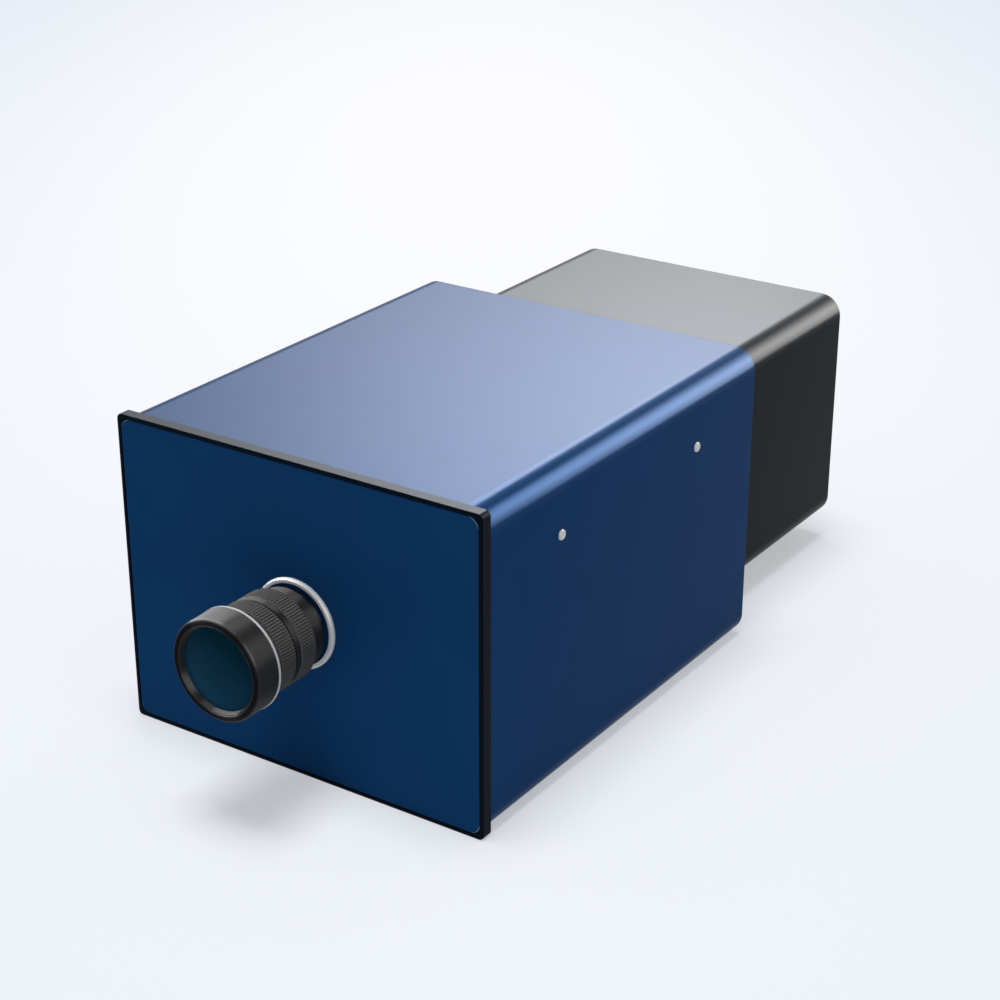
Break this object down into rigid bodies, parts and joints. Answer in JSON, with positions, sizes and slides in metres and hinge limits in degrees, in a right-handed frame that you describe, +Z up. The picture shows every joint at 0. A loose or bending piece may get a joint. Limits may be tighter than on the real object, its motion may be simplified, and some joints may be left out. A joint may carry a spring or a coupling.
{
  "type": "hyperspectral camera",
  "caption": "Push-broom hyperspectral camera: blue rounded case with a black front frame, a smaller black rear box, and a front lens with knurled focus and iris rings.",
  "frame": {"origin": "mouth of the tripod thread, on the flat underside of the case", "axes": "+Z up, -Y along the optical axis towards the lens, +X to the right of someone who faces the lens"},
  "size_m": [0.1414, 0.3055, 0.1085],
  "materials": {
    "cover_blue": "satin",
    "panel_blue": "satin",
    "frame_black": "satin",
    "rear_black": "satin",
    "lens_black": "gloss",
    "knurl_black": "satin",
    "bright_metal": "polished",
    "retainer_black": "satin",
    "steel": "satin",
    "blade_black": "matt",
    "aluminium": "machined",
    "black_anodised": "matt",
    "lens_glass": "coated",
    "clear_glass": "polished",
    "motor_steel": "satin",
    "package_metal": "satin",
    "silicon": "polished",
    "copper": "machined",
    "cooler_white": "matt",
    "board_green": "satin",
    "ribbon_grey": "matt",
    "fan_black": "matt",
    "socket_metal": "satin"
  },
  "bodies": {
    "case": {"housing_sleeve": "cover_blue", "front_panel": "panel_blue", "front_frame": "frame_black", "rear_housing": "rear_black", "rear_panel": "rear_black", "rear_bulkhead": "rear_black", "lens_adapter": "lens_black", "lens_body": "lens_black", "iris_housing": "lens_black", "lens_ring": "bright_metal", "cover_pins": "bright_metal", "screws": "steel", "standoffs": "steel", "slit_plate": "steel", "optical_bench": "aluminium", "side_rails": "aluminium", "heat_sink": "aluminium", "rear_posts": "aluminium", "lens_mount": "black_anodised", "slit_bracket": "black_anodised", "slit_holder": "black_anodised", "collimator_barrel": "black_anodised", "imaging_barrel": "black_anodised", "prism_cell": "black_anodised", "barrel_saddles": "black_anodised", "barrel_clamps": "black_anodised", "rear_element": "clear_glass", "collimator_lens": "clear_glass", "imaging_lens": "clear_glass", "entrance_prism": "clear_glass", "exit_prism": "clear_glass", "grating_plate": "clear_glass", "detector_window": "clear_glass", "shutter_motor": "motor_steel", "detector_package": "package_metal", "sensor_array": "silicon", "cold_block": "copper", "cooler": "cooler_white", "detector_board": "board_green", "main_board": "board_green", "ribbon_cable": "ribbon_grey", "fan_frame": "fan_black", "power_connector": "socket_metal", "trigger_connector": "socket_metal", "ethernet_jack": "socket_metal"},
    "focus_ring": {"focus_ring": "knurl_black"},
    "lens_head": {"front_barrel": "lens_black", "accent_ring": "bright_metal", "front_retainer": "retainer_black", "front_element": "lens_glass"},
    "iris_ring": {"iris_ring": "knurl_black", "iris_drive": "lens_black"},
    "shutter": {"shutter_arm": "steel"},
    "fan_rotor": {"fan_rotor": "fan_black"},
    "iris_blade_1": {"iris_blade_1": "blade_black"},
    "iris_blade_2": {"iris_blade_2": "blade_black"},
    "iris_blade_3": {"iris_blade_3": "blade_black"},
    "iris_blade_4": {"iris_blade_4": "blade_black"},
    "iris_blade_5": {"iris_blade_5": "blade_black"}
  },
  "joints": [
    {"name": "focus_turn", "type": "hinge", "parent": "case", "child": "focus_ring", "pos_m": [0, -0.113, 0.05425], "axis": [0, 1, 0], "range_deg": [0, 150]},
    {"name": "focus_slide", "type": "slide", "parent": "case", "child": "lens_head", "axis": [0, -1, 0], "range_m": [0, 0.0019]},
    {"name": "iris_turn", "type": "hinge", "parent": "case", "child": "iris_ring", "pos_m": [0, -0.1023, 0.05425], "axis": [0, 1, 0], "range_deg": [0, 60]},
    {"name": "shutter_turn", "type": "hinge", "parent": "case", "child": "shutter", "pos_m": [0.017, -0.0784, 0.07125], "axis": [0, 1, 0], "range_deg": [0, 45]},
    {"name": "fan_spin", "type": "hinge", "parent": "case", "child": "fan_rotor", "pos_m": [0, 0.1561, 0.06625], "axis": [0, 1, 0], "continuous": true},
    {"name": "iris_blade_1_swing", "type": "hinge", "parent": "case", "child": "iris_blade_1", "pos_m": [0, -0.1016, 0.06465], "axis": [0, 1, 0], "range_deg": [0, 22]},
    {"name": "iris_blade_2_swing", "type": "hinge", "parent": "case", "child": "iris_blade_2", "pos_m": [0.00989, -0.10205, 0.05746], "axis": [0, 1, 0], "range_deg": [0, 22]},
    {"name": "iris_blade_3_swing", "type": "hinge", "parent": "case", "child": "iris_blade_3", "pos_m": [0.00611, -0.1025, 0.04584], "axis": [0, 1, 0], "range_deg": [0, 22]},
    {"name": "iris_blade_4_swing", "type": "hinge", "parent": "case", "child": "iris_blade_4", "pos_m": [-0.00611, -0.10295, 0.04584], "axis": [0, 1, 0], "range_deg": [0, 22]},
    {"name": "iris_blade_5_swing", "type": "hinge", "parent": "case", "child": "iris_blade_5", "pos_m": [-0.00989, -0.1034, 0.05746], "axis": [0, 1, 0], "range_deg": [0, 22]}
  ],
  "couplings": [
    {"joint": "focus_turn", "follows": "focus_slide", "rad_per_m": 1377.8},
    {"joint": "iris_blade_1_swing", "follows": "iris_turn", "ratio": 0.3666},
    {"joint": "iris_blade_2_swing", "follows": "iris_turn", "ratio": 0.3666},
    {"joint": "iris_blade_3_swing", "follows": "iris_turn", "ratio": 0.3666},
    {"joint": "iris_blade_4_swing", "follows": "iris_turn", "ratio": 0.3666},
    {"joint": "iris_blade_5_swing", "follows": "iris_turn", "ratio": 0.3666}
  ]
}
